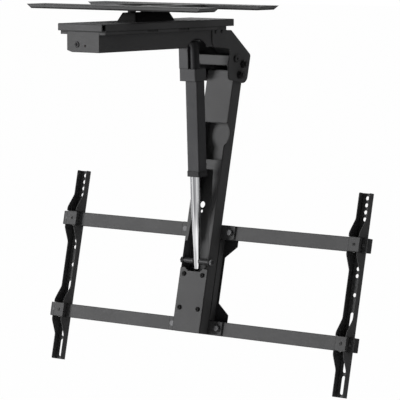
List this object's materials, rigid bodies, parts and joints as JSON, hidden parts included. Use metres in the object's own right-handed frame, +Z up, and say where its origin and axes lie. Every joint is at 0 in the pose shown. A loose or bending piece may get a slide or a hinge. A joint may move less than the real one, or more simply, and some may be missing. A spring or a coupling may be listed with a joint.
{
  "type": "motorized tv ceiling mount",
  "caption": "Ceiling mount with a swivel plate, a motor-driven fold-down arm and sliding brackets on two crossbars for a television.",
  "frame": {"origin": "centre of the four ceiling screw holes, on the ceiling face", "axes": "+Z up, +X along the crossbars, +Y towards the housing's free end; the screen faces -Y"},
  "size_m": [0.9, 0.5208, 0.8506],
  "materials": {
    "black_coat": "satin",
    "black_steel": "satin",
    "chrome": "polished",
    "bright_steel": "satin",
    "brass": "satin",
    "black_plastic": "matte",
    "gear_case": "satin",
    "lens": "gloss"
  },
  "bodies": {
    "ceiling": {"ceiling_plate": "black_coat", "swivel_bolt": "black_steel", "swivel_post": "black_coat", "swivel_nut": "black_steel"},
    "housing": {"swivel_base": "black_coat", "glide_pads": "black_plastic", "housing_lid": "black_coat", "housing_box": "black_coat", "power_jack": "black_plastic", "led_lens": "lens", "control_box": "black_plastic", "lid_screws": "black_steel", "cheek_left": "black_coat", "cheek_right": "black_coat", "cheek_screws": "black_steel", "hinge_back_plate": "black_coat", "hinge_strap": "black_coat", "tie_bolt": "black_steel", "tie_nut": "black_steel", "hinge_bolt": "black_steel", "hinge_nut": "black_steel", "hinge_washers": "black_steel", "strap_screws": "black_steel", "strap_nuts": "black_steel", "actuator_lug_left": "black_coat", "actuator_lug_right": "black_coat"},
    "arm": {"arm_channel": "black_coat", "hinge_bushes": "black_plastic", "arm_cover": "black_coat", "cover_bolts": "black_steel", "cover_nuts": "black_steel", "rod_pin": "black_steel", "rod_pin_nut": "black_steel", "pin_spacers": "black_steel", "tv_head": "black_coat", "head_back_plate": "black_coat", "clamp_bolts": "black_steel", "clamp_nuts": "black_steel", "upper_crossbar": "black_coat", "lower_crossbar": "black_coat", "end_caps": "black_plastic", "stop_screws": "black_steel"},
    "bracket_left_body": {"bracket_left": "black_coat", "clips_left": "black_coat", "set_screws_left": "black_steel"},
    "bracket_right_body": {"bracket_right": "black_coat", "clips_right": "black_coat", "set_screws_right": "black_steel"},
    "rod_body": {"rod": "chrome", "drive_nut": "brass"},
    "actuator": {"gearbox": "gear_case", "eye_pin": "bright_steel", "motor": "black_plastic", "actuator_tube": "gear_case", "tube_end_cap": "black_plastic", "lead_screw": "bright_steel"}
  },
  "joints": [
    {"name": "swivel", "type": "hinge", "parent": "ceiling", "child": "housing", "pos_m": [0, 0.0185, 0], "axis": [0, 0, 1], "range_deg": [-45, 45]},
    {"name": "arm_flip", "type": "hinge", "parent": "housing", "child": "arm", "pos_m": [0, -0.2475, -0.164], "axis": [1, 0, 0], "range_deg": [0, 77.8]},
    {"name": "rod_pin_turn", "type": "hinge", "parent": "arm", "child": "rod_body", "pos_m": [0, -0.15666, -0.58511], "axis": [1, 0, 0], "range_deg": [-6, 0]},
    {"name": "actuator_stroke", "type": "slide", "parent": "rod_body", "child": "actuator", "axis": [0, 0.041, 0.9992], "range_m": [-0.184, 0]},
    {"name": "left_bracket_slide", "type": "slide", "parent": "arm", "child": "bracket_left_body", "axis": [1, 0, 0], "range_m": [-0.3205, 0.0062]},
    {"name": "right_bracket_slide", "type": "slide", "parent": "arm", "child": "bracket_right_body", "axis": [1, 0, 0], "range_m": [-0.0007, 0.326]}
  ],
  "couplings": [
    {"joint": "rod_pin_turn", "follows": "arm_flip", "ratio": -0.025636},
    {"joint": "actuator_stroke", "follows": "arm_flip", "m_per_rad": -0.13512}
  ]
}
